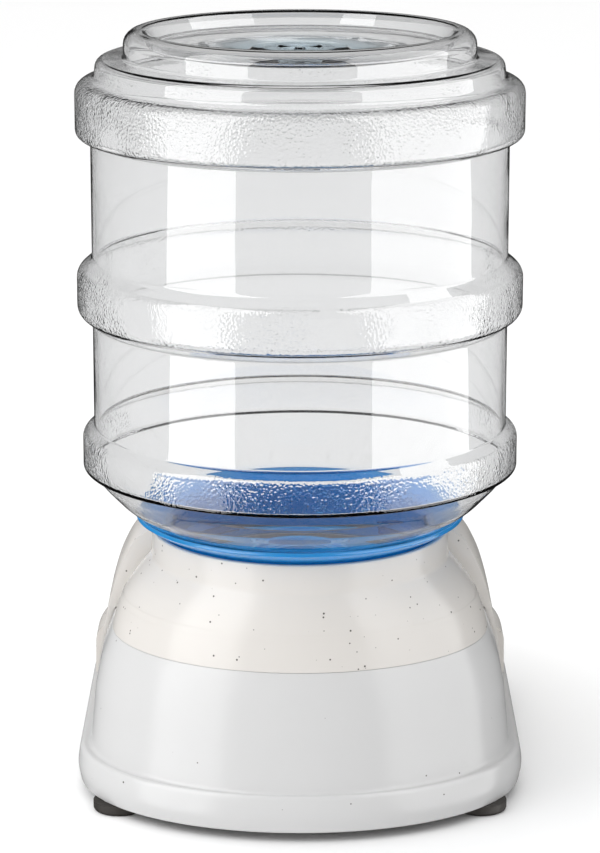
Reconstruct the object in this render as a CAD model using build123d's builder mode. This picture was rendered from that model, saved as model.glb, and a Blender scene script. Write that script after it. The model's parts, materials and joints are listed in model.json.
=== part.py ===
"""Gravity water dispenser: a clear three-ring bottle stands upside down, cap first, in a two-tone base.

Frame: millimetres, +Z up, origin on the floor at the centre of the footprint of bottle and base together.
The bottle stands towards -Y, the drinking bowl lies towards +Y, and both halves mirror about the YZ plane.
"""

import os

from build123d import *

# Driving dimensions -------------------------------------------------------------------------------

# plan of the base
BASE_LENGTH = 264.0
SKIRT_HALF_WIDTH = 90.9  # widest point of the skirt, also the radius of its round front
SKIRT_REAR_DEPTH = 70.0  # how far the elliptical rear reaches behind the bottle's axis
BOTTLE_REAR_R = 88.13  # the bottle's widest ring overhangs the rear of the base
FRONT_Y = (BOTTLE_REAR_R + BASE_LENGTH - SKIRT_REAR_DEPTH) / 2
BOTTLE_Y = BOTTLE_REAR_R - FRONT_Y
BOWL_Y = FRONT_Y - SKIRT_HALF_WIDTH
SEAT_AXIS = Axis((0, BOTTLE_Y, 0), (0, 0, 1))
BOWL_AXIS = Axis((0, BOWL_Y, 0), (0, 0, 1))
SEAT_PROFILE = Plane(origin=(0, BOTTLE_Y, 0), x_dir=(1, 0, 0), z_dir=(0, -1, 0))
BOWL_PROFILE = Plane(origin=(0, BOWL_Y, 0), x_dir=(1, 0, 0), z_dir=(0, -1, 0))

# walls and gaps
WALL = 2.4
BOTTLE_WALL = 1.5
GAP = 0.6  # between loose covers
SEAM = 0.4  # the fine parting line round the base
RUN = 0.3  # between bodies that come apart
FREE = 0.05  # between pieces that only just touch

# heights of the base
SKIRT_BOTTOM = 4.1
LEDGE_Z = 19.3
SEAM_Z = 68.4
COLLAR_TOP = 110.2
RIM_TOP = 42.0

# lower shell, one (height, half-width, rear depth) per level
SKIRT_LEVELS = [
    (SKIRT_BOTTOM, 89.4, 69.0),
    (10.8, SKIRT_HALF_WIDTH, SKIRT_REAR_DEPTH),
    (LEDGE_Z, 89.6, 69.4),
]
SHELL_LEVELS = [(LEDGE_Z, 85.3, 66.9), (44.0, 83.0, 66.4), (55.0, 80.8, 65.8), (SEAM_Z, 76.0, 64.7)]
SKIRT_INNER_LEVELS = [SKIRT_LEVELS[0], SKIRT_LEVELS[1], (LEDGE_Z - WALL, 90.0, 69.6)]
LEDGE_INNER = (81.6, 64.0)

# bottle collar with the dome behind it
COLLAR_R = 59.6
COLLAR_BORE_R = 57.4
COLLAR_SKIRT_Z = 84.0
DOME_LEVELS = [
    (SEAM_Z + SEAM, 75.9, 64.7),
    (76.0, 74.6, 64.3),
    (83.5, 71.2, 63.3),
    (90.0, 66.8, 61.9),
    (95.0, 62.8, 60.7),
    (99.0, 60.1, 59.8),
]
DOME_FOOT = (75.0, 63.8)  # outside of the flat strip that joins the lip to the dome
LIP_OUTER = (73.1, 61.8)
LIP_INNER = (71.2, 59.9)
LIP_DEPTH = 6.0

# front hood
HOOD_REAR_Y = BOTTLE_Y + 22.0
HOOD_TOP = 107.0
HOOD_BACK_EDGE_DROP = 12.0  # how far the parting line with the lower shell slants forward
HOOD_SIDE_END_Y = BOTTLE_Y + 85.0
HOOD_FACE_TOP_Y = BOTTLE_Y + 60.5
HOOD_FACE_FOOT_Y = BOTTLE_Y + 91.0
HOOD_FACE_SHIFT = 2.7  # the sloping face's wall, measured along Y
HOOD_PROFILE = Plane(origin=(0, HOOD_REAR_Y, 0), x_dir=(1, 0, 0), z_dir=(0, -1, 0))
HOOD_ARCH = [
    (85.3, LEDGE_Z + GAP),
    (84.3, 38.0),
    (82.4, 52.0),
    (78.3, 71.5),
    (73.3, 86.9),
    (66.0, 98.6),
    (52.0, 104.4),
]

# basin
BASIN_FLOOR_Z = 10.0
FLOOR_THICK = 2.4
BOWL_FLOOR_R = 55.0
BOWL_MOUTH_R = 77.0
CHANNEL_HALF_WIDTH = 46.0
ROLLED_RIM_R = 88.4
RIM_STRAIGHT = BOWL_Y - HOOD_SIDE_END_Y - GAP  # the rim runs straight from the hood to the round front
BASIN_FLANGE = (80.0, 63.3)
POST_R = 6.0
POST_TOP = 27.6

# feet and their screws
FOOT_R = 10.5
FOOT_HEIGHT = 4.05
FOOT_EDGE_R = 1.4
FOOT_SPOTS = {
    "foot_rear_left": (-72.5, BOTTLE_Y - 29.5),
    "foot_rear_right": (72.5, BOTTLE_Y - 29.5),
    "foot_front_left": (-54.0, BOWL_Y + 54.5),
    "foot_front_right": (54.0, BOWL_Y + 54.5),
}
FOOT_BOSS_R = 7.0
SCREW_R = 1.6
SCREW_HOLE_R = 1.65
SCREW_HEAD_R = 3.2
SCREW_HEAD = 2.0
SCREW_EDGE = 0.5
SCREW_SLOT = (3.6, 0.8)
FOOT_HEAD_Z = 0.8

# basin screws stand beside the well, hood screws round the front of the dome
BASIN_TAB_LENGTH = 22.0
BASIN_TAB_WIDTH = 12.0
BASIN_SCREW_SPOTS = [(x, BOTTLE_Y + y) for x in (-68.0, 68.0) for y in (-4.0, 44.0)]
BASIN_TAB_SPOTS = [(x, BOTTLE_Y + y) for x in (-74.8, 74.8) for y in (-4.0, 44.0)]
HOOD_SIDE_SPOTS = [(-62.0, BOTTLE_Y + 44.0), (62.0, BOTTLE_Y + 44.0)]
HOOD_FACE_SPOTS = [(-30.0, BOTTLE_Y + 65.5), (30.0, BOTTLE_Y + 65.5)]
HOOD_FACE_TABS = [(-30.0, BOTTLE_Y + 64.0), (30.0, BOTTLE_Y + 64.0)]
HOOD_SIDE_TAB = (22.0, 13.0)
HOOD_FACE_TAB = (13.0, 17.0)
HOOD_SIDE_BOSS_TOP = 97.0
HOOD_FACE_BOSS_TOP = 86.0
HOOD_HOLE_DEPTH = 13.0
TAB_Z = 71.0
TAB_THICK = 3.0
BOSS_R = 4.0
HOLE_END = 2.0  # what is left above a screw's blind hole
COLLAR_EDGE_R = 0.7

# bottle: outer outline from the middle of the top panel to the shoulder, as (radius, height, corner radius)
BOTTLE_OUTLINE = [
    (0.0, 301.8, 0.0),
    (14.0, 301.8, 3.0),
    (56.5, 304.0, 2.5),
    (60.5, 310.0, 2.5),
    (68.9, 310.0, 5.5),
    (68.9, 299.4, 0.9),
    (79.6, 299.0, 3.2),
    (80.6, 291.6, 2.2),
    (88.0, 289.6, 5.0),
    (88.0, 269.2, 3.4),
    (82.1, 268.0, 0.8),
    (82.1, 220.6, 2.2),
    (88.2, 215.6, 5.5),
    (88.2, 199.6, 5.0),
    (82.1, 195.6, 1.6),
    (82.1, 153.4, 0.9),
    (86.6, 149.8, 3.4),
    (86.6, 136.6, 1.0),
    (83.6, 136.0, 0.0),
]
SHOULDER_MIDDLE = (72.4, 123.1)
SHOULDER_FOOT = (56.5, 112.1)
NECK_R = 52.0
NECK_TOP = 111.2
NECK_CORNER_R = 1.6
MOUTH_Z = 93.0
MOUTH_STUB = 12.0  # the outline runs this far past the mouth and the axis before the wall is cut to length
BOTTLE_REACH = 120.0

# valve cap and its quarter-turn lugs
CAP_FLOOR_Z = 88.5
CAP_FLOOR_THICK = 2.5
CAP_R = 56.3
CAP_BORE_R = 54.6
CAP_TOP = 110.3
FLANGE_UNDER = [(CAP_R, CAP_TOP), (61.5, 112.8), (66.0, 115.6)]  # follows the shoulder from below
FLANGE_UPPER = [(65.2, 116.9), (61.0, 114.2), (56.5, 111.7)]
FLANGE_FOOT = (CAP_BORE_R, 111.2)
GRIP_RIB_TOP = 104.0
GRIP_RIB_COUNT = 36
GRIP_RIB_R = 0.7
LUG_COUNT = 3
LUG_ANGLE = 50.0
NECK_LUG = (52.0, 54.2, 95.6, 98.4)
CAP_LUG = (52.4, 54.6, 98.7, 101.5)
HUB_R = 20.7
HUB_BORE_R = 17.8
HUB_TOP = 100.5
CAP_STEP = 2.0
PEG_SPOT_R = 40.0
PEG_R = 3.6
PEG_HEIGHT = 3.0
GASKET = (49.8, 53.4, CAP_FLOOR_Z + CAP_FLOOR_THICK, 92.8)

# valve tube and the plunger in it
TUBE_R = 15.0
TUBE_WALL = 2.0
TUBE_TOP = 98.0
TUBE_END = 34.0
TUBE_FLANGE_R = 19.0
TUBE_FLANGE = 2.8
SOCKET_R = 15.1
SEAT_R = 8.0
VALVE_TRAVEL = 5.0
STEM_R = 2.2
STEM_TIP = POST_TOP + RUN
STEM_TOP = 74.0
STEM_FOOT_R = 4.0
STEM_COLLAR_R = 9.5
STEM_COLLAR = 1.5
DISC_Z = 36.6 + VALVE_TRAVEL
CAGE_Z = 62.0
CAGE_THICK = 4.0
CAGE_RING_R = 11.4
CAGE_HUB_R = 4.6
CAGE_SPOKE = (7.6, 2.0)
CAGE_SPOKE_R = 8.0
SPRING_R = 6.2
SPRING_WIRE_R = 0.6
SPRING_TURNS = 6
DISC_R = 10.8
DISC_THICK = 2.0
DISC_EDGE_R = 0.6
SPRING_FOOT = DISC_Z + DISC_THICK + STEM_COLLAR + SPRING_WIRE_R + FREE
SPRING_TOP = CAGE_Z - SPRING_WIRE_R - FREE
CLIP_Z = 72.0
CLIP_THICK = 1.2
CLIP_R = 4.4
CLIP_MOUTH = (2.4, 4.0)
CLIP_GROOVE_R = 1.6
O_RING_Z = 94.0
O_RING_R = 14.5
O_RING_SECTION = 0.56
O_RING_GROOVE = 0.8


def base_outline(half_width, rear_depth):
    """Draw the base's plan: a half-ellipse behind the bottle, straight sides, and a round front."""
    with BuildLine() as outline:
        EllipticalCenterArc((0, BOTTLE_Y), half_width, rear_depth, start_angle=180, arc_size=180)
        Line((half_width, BOTTLE_Y), (half_width, BOWL_Y))
        CenterArc((0, BOWL_Y), half_width, 0, 180)
        Line((-half_width, BOWL_Y), (-half_width, BOTTLE_Y))
    make_face(outline.edges())


def loft_base(levels, inset=0.0, mode=Mode.ADD):
    """Loft the base's plan through (height, half-width, rear depth) levels, drawn in by inset."""
    sections = []
    for height, half_width, rear_depth in levels:
        with BuildSketch(Plane.XY.offset(height)) as section:
            base_outline(half_width - inset, rear_depth - inset)
        sections.append(section.sketch)
    loft(sections, mode=mode)


def loft_dome(inset=0.0, mode=Mode.ADD):
    """Loft the dome's ellipses from the parting line up to the collar, drawn in by inset."""
    sections = []
    for height, half_width, depth in DOME_LEVELS:
        with BuildSketch(Plane.XY.offset(height)) as section:
            with Locations((0, BOTTLE_Y)):
                Ellipse(half_width - inset, depth - inset)
        sections.append(section.sketch)
    loft(sections, mode=mode)


def ring(outer_r, inner_r, low, high, mode=Mode.ADD):
    """Add a plain ring round the bottle's axis between two heights."""
    with BuildSketch(SEAT_PROFILE) as section:
        with Locations(((outer_r + inner_r) / 2, (low + high) / 2)):
            Rectangle(outer_r - inner_r, high - low)
    revolve(section.sketch, axis=SEAT_AXIS, mode=mode)


def post(spots, radius, low, high, mode=Mode.ADD):
    """Add an upright round post at each spot, or a hole with Mode.SUBTRACT."""
    with BuildSketch(Plane.XY.offset(low)) as rounds:
        with Locations(*spots):
            Circle(radius)
    extrude(rounds.sketch, amount=high - low, mode=mode)


def lugs(size, first_angle):
    """Add the quarter-turn lugs, short ring segments evenly spaced round the bottle's axis."""
    inner_r, outer_r, low, high = size
    for index in range(LUG_COUNT):
        start = first_angle + index * 360 / LUG_COUNT
        with BuildSketch(Plane.XY.offset(low)) as lug:
            with BuildLine() as outline:
                inner = CenterArc((0, BOTTLE_Y), inner_r, start, LUG_ANGLE)
                outer = CenterArc((0, BOTTLE_Y), outer_r, start, LUG_ANGLE)
                Line(inner @ 0, outer @ 0)
                Line(inner @ 1, outer @ 1)
            make_face(outline.edges())
        extrude(lug.sketch, amount=high - low)


def side_cut(points, half_width=BASE_LENGTH, mode=Mode.SUBTRACT):
    """Cut or keep what a side-view outline of (y, z) points covers, right across the width."""
    with BuildSketch(Plane.YZ) as side:
        with BuildLine() as outline:
            Polyline(*points, close=True)
        make_face(outline.edges())
    extrude(side.sketch, amount=half_width, both=True, mode=mode)


os.makedirs("parts", exist_ok=True)


def save(piece, name):
    """Label a finished piece and write it as its own STEP file."""
    piece.label = name
    export_step(piece, f"parts/{name}.step")


# Lower shell: skirt, ledge, the tall wall behind the bottle, foot bosses and basin tabs ----------------

with BuildPart() as lower_shell:
    loft_base(SKIRT_LEVELS)
    loft_base(SHELL_LEVELS)
    side_cut(
        [
            (HOOD_REAR_Y - GAP, SEAM_Z + WALL),
            (HOOD_REAR_Y - GAP, SEAM_Z),
            (HOOD_REAR_Y - GAP + HOOD_BACK_EDGE_DROP, LEDGE_Z),
            (BASE_LENGTH, LEDGE_Z),
            (BASE_LENGTH, SEAM_Z + WALL),
        ]
    )
    loft_base(SHELL_LEVELS, inset=WALL, mode=Mode.SUBTRACT)
    with BuildSketch(Plane.XY.offset(LEDGE_Z)):
        base_outline(*LEDGE_INNER)
    extrude(amount=-WALL - 1, mode=Mode.SUBTRACT)
    loft_base(SKIRT_INNER_LEVELS, inset=WALL, mode=Mode.SUBTRACT)
    post(FOOT_SPOTS.values(), FOOT_BOSS_R, SKIRT_BOTTOM, LEDGE_Z)
    with BuildSketch(Plane.XY.offset(LEDGE_Z - WALL)):
        with Locations(*BASIN_TAB_SPOTS):
            Rectangle(BASIN_TAB_LENGTH, BASIN_TAB_WIDTH)
    extrude(amount=WALL)
    post(FOOT_SPOTS.values(), SCREW_HOLE_R, SKIRT_BOTTOM, LEDGE_Z - HOLE_END, Mode.SUBTRACT)
    post(BASIN_SCREW_SPOTS, SCREW_R + RUN, 0, LEDGE_Z, Mode.SUBTRACT)
save(lower_shell.part, "lower_shell")

# Feet: round rubber pads screwed up into the shell's bosses --------------------------------------------

for foot_name, spot in FOOT_SPOTS.items():
    with BuildPart() as foot:
        post([spot], FOOT_R, 0, FOOT_HEIGHT)
        fillet(foot.edges().group_by(Axis.Z)[0], radius=FOOT_EDGE_R)
        post([spot], SCREW_HEAD_R + RUN, 0, FOOT_HEAD_Z + SCREW_HEAD, Mode.SUBTRACT)
        post([spot], SCREW_HOLE_R, 0, FOOT_HEIGHT, Mode.SUBTRACT)
    save(foot.part, foot_name)

# Screws, head down, each group one file -----------------------------------------------------------------

for group, spots, head_z, length in [
    ("foot_screws", list(FOOT_SPOTS.values()), FOOT_HEAD_Z, 12.0),
    ("basin_screws", BASIN_SCREW_SPOTS, LEDGE_Z - WALL - SCREW_HEAD, 16.0),
    ("hood_screws", HOOD_SIDE_SPOTS + HOOD_FACE_SPOTS, TAB_Z - SCREW_HEAD, 11.0),
]:
    with BuildPart() as screws:
        post(spots, SCREW_HEAD_R, head_z, head_z + SCREW_HEAD)
        chamfer(screws.edges().group_by(Axis.Z)[0], length=SCREW_EDGE)
        post(spots, SCREW_R, head_z + SCREW_HEAD, head_z + SCREW_HEAD + length)
        with BuildSketch(Plane.XY.offset(head_z)):
            with Locations(*spots):
                Rectangle(*SCREW_SLOT)
                Rectangle(*reversed(SCREW_SLOT))
        extrude(amount=SCREW_HEAD / 2, mode=Mode.SUBTRACT)
    save(screws.part, group)

# Basin: drinking bowl, channel and well in one moulding, with the post that opens the valve ----------

with BuildSketch(BOWL_PROFILE) as rolled_rim:
    with BuildLine():
        outside = FilletPolyline(
            (BOWL_MOUTH_R + 0.4, RIM_TOP - 4),
            (BOWL_MOUTH_R + 1.4, RIM_TOP),
            (ROLLED_RIM_R - 0.3, RIM_TOP),
            (ROLLED_RIM_R, LEDGE_Z + GAP),
            radius=(2.0, 7.9),
        )
        inside = FilletPolyline(
            (ROLLED_RIM_R - WALL, LEDGE_Z + GAP),
            (ROLLED_RIM_R - WALL - 0.3, RIM_TOP - WALL),
            (BOWL_MOUTH_R + 2, RIM_TOP - WALL),
            radius=(6.1,),
        )
        Line(outside @ 1, inside @ 0)
        Polyline(inside @ 1, (BOWL_MOUTH_R + 2, RIM_TOP - 4), outside @ 0)
    make_face()

with BuildPart() as basin:
    with BuildSketch(BOWL_PROFILE):
        with BuildLine():
            FilletPolyline(
                (0, BASIN_FLOOR_Z),
                (BOWL_FLOOR_R + FLOOR_THICK, BASIN_FLOOR_Z),
                (BOWL_MOUTH_R + FLOOR_THICK, RIM_TOP),
                (0, RIM_TOP),
                radius=(0, 11, 0, 0),
                close=True,
            )
        make_face()
    revolve(axis=BOWL_AXIS)
    with BuildSketch(Plane.XY.offset(RIM_TOP)):
        with Locations((0, BOTTLE_Y)):
            Circle(CHANNEL_HALF_WIDTH + FLOOR_THICK)
        with Locations((0, (BOTTLE_Y + BOWL_Y) / 2)):
            Rectangle(2 * (CHANNEL_HALF_WIDTH + FLOOR_THICK), BOWL_Y - BOTTLE_Y)
    extrude(amount=BASIN_FLOOR_Z - RIM_TOP)
    with BuildSketch(Plane.XY.offset(RIM_TOP - WALL)):
        base_outline(*BASIN_FLANGE)
    extrude(amount=WALL)
    revolve(rolled_rim.sketch, axis=BOWL_AXIS, revolution_arc=180)
    extrude(rolled_rim.sketch, amount=RIM_STRAIGHT, dir=(0, -1, 0))
    left_rim = mirror(rolled_rim.sketch, about=Plane.YZ, mode=Mode.PRIVATE)
    extrude(left_rim, amount=RIM_STRAIGHT, dir=(0, -1, 0))
    post(BASIN_SCREW_SPOTS, BOSS_R, LEDGE_Z, RIM_TOP - WALL)
    with BuildSketch(BOWL_PROFILE):
        with BuildLine():
            FilletPolyline(
                (0, BASIN_FLOOR_Z + FLOOR_THICK),
                (BOWL_FLOOR_R, BASIN_FLOOR_Z + FLOOR_THICK),
                (BOWL_MOUTH_R, RIM_TOP),
                (BOWL_MOUTH_R, RIM_TOP + WALL),
                (0, RIM_TOP + WALL),
                radius=(0, 9, 0, 0, 0),
                close=True,
            )
        make_face()
    revolve(axis=BOWL_AXIS, mode=Mode.SUBTRACT)
    with BuildSketch(Plane.XY.offset(BASIN_FLOOR_Z + FLOOR_THICK)):
        with Locations((0, BOTTLE_Y)):
            Circle(CHANNEL_HALF_WIDTH)
        with Locations((0, (BOTTLE_Y + BOWL_Y) / 2)):
            Rectangle(2 * CHANNEL_HALF_WIDTH, BOWL_Y - BOTTLE_Y)
    extrude(amount=RIM_TOP, mode=Mode.SUBTRACT)
    ring(POST_R, 0, BASIN_FLOOR_Z, POST_TOP)
    post(BASIN_SCREW_SPOTS, SCREW_HOLE_R, 0, RIM_TOP - WALL - HOLE_END, Mode.SUBTRACT)
save(basin.part, "basin")

# Bottle collar: the ring that carries the bottle, the dome round it, and tabs for the hood --------------

with BuildPart() as bottle_collar:
    loft_dome()
    loft_dome(inset=WALL, mode=Mode.SUBTRACT)
    ring(COLLAR_R, COLLAR_BORE_R, COLLAR_SKIRT_Z, COLLAR_TOP)
    with BuildSketch(Plane.XY.offset(SEAM_Z + SEAM)):
        with Locations((0, BOTTLE_Y)):
            Ellipse(*DOME_FOOT)
            Ellipse(*LIP_INNER, mode=Mode.SUBTRACT)
    extrude(amount=WALL)
    with BuildSketch(Plane.XY.offset(SEAM_Z - LIP_DEPTH)):
        with Locations((0, BOTTLE_Y)):
            Ellipse(*LIP_OUTER)
            Ellipse(*LIP_INNER, mode=Mode.SUBTRACT)
    extrude(amount=LIP_DEPTH + WALL)
    with BuildSketch(Plane.XY.offset(TAB_Z)) as hood_tabs:
        with Locations(*HOOD_SIDE_SPOTS):
            Rectangle(*HOOD_SIDE_TAB)
        with Locations(*HOOD_FACE_TABS):
            Rectangle(*HOOD_FACE_TAB)
        with Locations((0, BOTTLE_Y)):
            Ellipse(*LIP_OUTER, mode=Mode.SUBTRACT)
    extrude(amount=TAB_THICK)
    post([(0, BOTTLE_Y)], COLLAR_BORE_R, 0, COLLAR_TOP, Mode.SUBTRACT)
    post(HOOD_SIDE_SPOTS + HOOD_FACE_SPOTS, SCREW_R + RUN, 0, TAB_Z + TAB_THICK, Mode.SUBTRACT)
    fillet(bottle_collar.edges().group_by(Axis.Z)[-1], radius=COLLAR_EDGE_R)
save(bottle_collar.part, "bottle_collar")

# Front hood: an arched cover from the collar down over the sides and forward to the bowl ---------------


def hood_arch(inset):
    """Draw the hood's arch as seen from behind, drawn in by inset."""
    right = [(x - inset, z - (inset if z > SEAM_Z else 0)) for x, z in HOOD_ARCH]
    left = [(-x, z) for x, z in reversed(right)]
    top = HOOD_TOP - inset
    with BuildLine() as outline:
        Spline(*right, (0, top), *left)
        Line(left[-1], right[0])
    make_face(outline.edges())


with BuildPart() as hood_space:
    with BuildSketch(HOOD_PROFILE) as inner_arch:
        hood_arch(WALL)
    extrude(amount=-BASE_LENGTH, both=True)
    side_cut(
        [
            (HOOD_REAR_Y - WALL, 0),
            (HOOD_REAR_Y - WALL, SEAM_Z + SEAM),
            (HOOD_REAR_Y + WALL, SEAM_Z + SEAM),
            (HOOD_REAR_Y + WALL, HOOD_TOP),
            (HOOD_FACE_TOP_Y - HOOD_FACE_SHIFT, HOOD_TOP),
            (HOOD_FACE_FOOT_Y - HOOD_FACE_SHIFT, RIM_TOP + GAP),
            (HOOD_FACE_FOOT_Y - HOOD_FACE_SHIFT, 0),
        ],
        mode=Mode.INTERSECT,
    )

with BuildPart() as front_hood:
    with BuildSketch(HOOD_PROFILE) as outer_arch:
        hood_arch(0)
    extrude(amount=-BASE_LENGTH)
    side_cut(
        [
            (HOOD_REAR_Y, HOOD_TOP + WALL),
            (HOOD_REAR_Y, SEAM_Z + SEAM),
            (HOOD_REAR_Y + HOOD_BACK_EDGE_DROP, LEDGE_Z),
            (HOOD_SIDE_END_Y, LEDGE_Z),
            (HOOD_SIDE_END_Y, RIM_TOP + GAP),
            (HOOD_FACE_FOOT_Y, RIM_TOP + GAP),
            (HOOD_FACE_TOP_Y, HOOD_TOP),
            (HOOD_FACE_TOP_Y, HOOD_TOP + WALL),
        ],
        mode=Mode.INTERSECT,
    )
    add(hood_space.part, mode=Mode.SUBTRACT)
    post(HOOD_SIDE_SPOTS, BOSS_R, TAB_Z + TAB_THICK, HOOD_SIDE_BOSS_TOP)
    post(HOOD_FACE_SPOTS, BOSS_R, TAB_Z + TAB_THICK, HOOD_FACE_BOSS_TOP)
    post(HOOD_SIDE_SPOTS + HOOD_FACE_SPOTS, SCREW_HOLE_R, TAB_Z, TAB_Z + HOOD_HOLE_DEPTH, Mode.SUBTRACT)
    loft_dome(inset=-GAP, mode=Mode.SUBTRACT)
    post([(0, BOTTLE_Y)], COLLAR_R + GAP, LEDGE_Z, COLLAR_TOP, Mode.SUBTRACT)
save(front_hood.part, "front_hood")

# Bottle: one blow-moulded wall, closed at the top panel and open at the neck -----------------------------

with BuildSketch(SEAT_PROFILE) as bottle_body:
    with BuildLine():
        outline = FilletPolyline(
            (-MOUTH_STUB, BOTTLE_OUTLINE[0][1]),
            *[(r, z) for r, z, _ in BOTTLE_OUTLINE[1:]],
            radius=[corner for _, _, corner in BOTTLE_OUTLINE[1:-1]],
        )
        shoulder = ThreePointArc(outline @ 1, SHOULDER_MIDDLE, SHOULDER_FOOT)
        neck = FilletPolyline(
            shoulder @ 1, (NECK_R, NECK_TOP), (NECK_R, MOUTH_Z - MOUTH_STUB), radius=(NECK_CORNER_R,)
        )
        Polyline(neck @ 1, (-MOUTH_STUB, MOUTH_Z - MOUTH_STUB), outline @ 0)
    make_face()

with BuildSketch(SEAT_PROFILE) as bottle_wall:
    add(bottle_body.sketch)
    offset(bottle_body.sketch, amount=-BOTTLE_WALL, mode=Mode.SUBTRACT)
    with Locations((BOTTLE_REACH / 2, MOUTH_Z + BOTTLE_REACH)):
        Rectangle(BOTTLE_REACH, 2 * BOTTLE_REACH, mode=Mode.INTERSECT)

with BuildPart() as bottle:
    revolve(bottle_wall.sketch, axis=SEAT_AXIS)
    lugs(NECK_LUG, 0)
save(bottle.part, "bottle")

# Valve cap: ribbed skirt with lugs, a flange that cups the shoulder, a floor with its hub, and a peg --

with BuildPart() as valve_cap:
    ring(CAP_R, CAP_BORE_R, CAP_FLOOR_Z, CAP_TOP)
    ring(CAP_R, SOCKET_R, CAP_FLOOR_Z, CAP_FLOOR_Z + CAP_FLOOR_THICK)
    with BuildSketch(SEAT_PROFILE) as flange:
        with BuildLine() as outline:
            under = ThreePointArc(*FLANGE_UNDER)
            upper = ThreePointArc(*FLANGE_UPPER)
            Line(under @ 1, upper @ 0)
            Polyline(upper @ 1, FLANGE_FOOT, (CAP_BORE_R, CAP_TOP), under @ 0)
        make_face(outline.edges())
    revolve(flange.sketch, axis=SEAT_AXIS)
    ring(HUB_R, SOCKET_R, CAP_FLOOR_Z, HUB_TOP - CAP_STEP)
    ring(HUB_R, HUB_BORE_R, CAP_FLOOR_Z, HUB_TOP)
    post([(PEG_SPOT_R, BOTTLE_Y)], PEG_R, CAP_FLOOR_Z, CAP_FLOOR_Z + CAP_FLOOR_THICK + PEG_HEIGHT)
    lugs(CAP_LUG, 0)
    with BuildSketch(Plane.XY.offset(CAP_FLOOR_Z)):
        with Locations((0, BOTTLE_Y)):
            with PolarLocations(CAP_R, GRIP_RIB_COUNT):
                Circle(GRIP_RIB_R)
            Circle(CAP_BORE_R, mode=Mode.SUBTRACT)
    extrude(amount=GRIP_RIB_TOP - CAP_FLOOR_Z)
save(valve_cap.part, "valve_cap")

with BuildPart() as cap_gasket:
    ring(*GASKET)
save(cap_gasket.part, "cap_gasket")

# Valve tube: reaches from the cap down to the waterline and ends in the valve seat -----------------------

with BuildPart() as valve_tube:
    ring(TUBE_R, TUBE_R - TUBE_WALL, TUBE_END, TUBE_TOP)
    ring(TUBE_FLANGE_R, TUBE_R - TUBE_WALL, CAP_FLOOR_Z - TUBE_FLANGE, CAP_FLOOR_Z - FREE)
    ring(TUBE_R, SEAT_R, TUBE_END, TUBE_END + WALL)
    ring(
        TUBE_R + WALL,
        O_RING_R - O_RING_SECTION - FREE,
        O_RING_Z - O_RING_GROOVE,
        O_RING_Z + O_RING_GROOVE,
        Mode.SUBTRACT,
    )
save(valve_tube.part, "valve_tube")

with BuildPart() as tube_o_ring:
    with BuildSketch(SEAT_PROFILE):
        with Locations((O_RING_R, O_RING_Z)):
            Circle(O_RING_SECTION)
    revolve(axis=SEAT_AXIS)
save(tube_o_ring.part, "tube_o_ring")

# Plunger: stem, rubber disc, guide cage, return spring and the clip that stops the stem -------------------

with BuildPart() as valve_stem:
    ring(STEM_R, 0, STEM_TIP, STEM_TOP)
    ring(STEM_FOOT_R, 0, STEM_TIP, STEM_TIP + STEM_COLLAR)
    ring(STEM_FOOT_R, 0, DISC_Z - STEM_COLLAR, DISC_Z)
    ring(STEM_COLLAR_R, 0, DISC_Z + DISC_THICK, DISC_Z + DISC_THICK + STEM_COLLAR)
    ring(STEM_FOOT_R, CLIP_GROOVE_R, CLIP_Z, CLIP_Z + CLIP_THICK, Mode.SUBTRACT)
save(valve_stem.part, "valve_stem")

with BuildPart() as valve_disc:
    ring(DISC_R, STEM_R, DISC_Z, DISC_Z + DISC_THICK)
    fillet(valve_disc.edges().group_by(Axis.Z)[0].sort_by(SortBy.LENGTH)[-1], radius=DISC_EDGE_R)
save(valve_disc.part, "valve_disc")

with BuildPart() as guide_cage:
    ring(TUBE_R - TUBE_WALL - FREE, CAGE_RING_R, CAGE_Z, CAGE_Z + CAGE_THICK)
    ring(CAGE_HUB_R, STEM_R + FREE, CAGE_Z, CAGE_Z + CAGE_THICK)
    with BuildSketch(Plane.XY.offset(CAGE_Z + 1)):
        with Locations((0, BOTTLE_Y)):
            with PolarLocations(CAGE_SPOKE_R, 3):
                Rectangle(*CAGE_SPOKE)
    extrude(amount=CAGE_THICK - 1)
save(guide_cage.part, "guide_cage")

with BuildPart() as valve_spring:
    with BuildLine():
        coil = Helix(
            pitch=(SPRING_TOP - SPRING_FOOT) / SPRING_TURNS,
            height=SPRING_TOP - SPRING_FOOT,
            radius=SPRING_R,
            center=(0, BOTTLE_Y, SPRING_FOOT),
        )
    with BuildSketch(Plane(origin=coil @ 0, z_dir=coil % 0)):
        Circle(SPRING_WIRE_R)
    sweep(is_frenet=True)
save(valve_spring.part, "valve_spring")

with BuildPart() as stem_clip:
    ring(CLIP_R, CLIP_GROOVE_R + FREE, CLIP_Z + FREE, CLIP_Z + CLIP_THICK - FREE)
    with BuildSketch(Plane.XY.offset(CLIP_Z)):
        with Locations((0, BOTTLE_Y - CLIP_R + CLIP_MOUTH[1] / 2)):
            Rectangle(*CLIP_MOUTH)
    extrude(amount=CLIP_THICK, mode=Mode.SUBTRACT)
save(stem_clip.part, "stem_clip")
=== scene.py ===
"""Gravity water dispenser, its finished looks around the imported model: a clear three-ring bottle standing
cap first in a two-tone base with a drinking bowl. Lengths are in millimetres until a mesh is made."""

import json
import math

import bmesh
import bpy
from bpy.props import FloatProperty, FloatVectorProperty, IntProperty, PointerProperty
from bpy.types import Operator, Panel, PropertyGroup
from mathutils import Matrix, Vector


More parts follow.
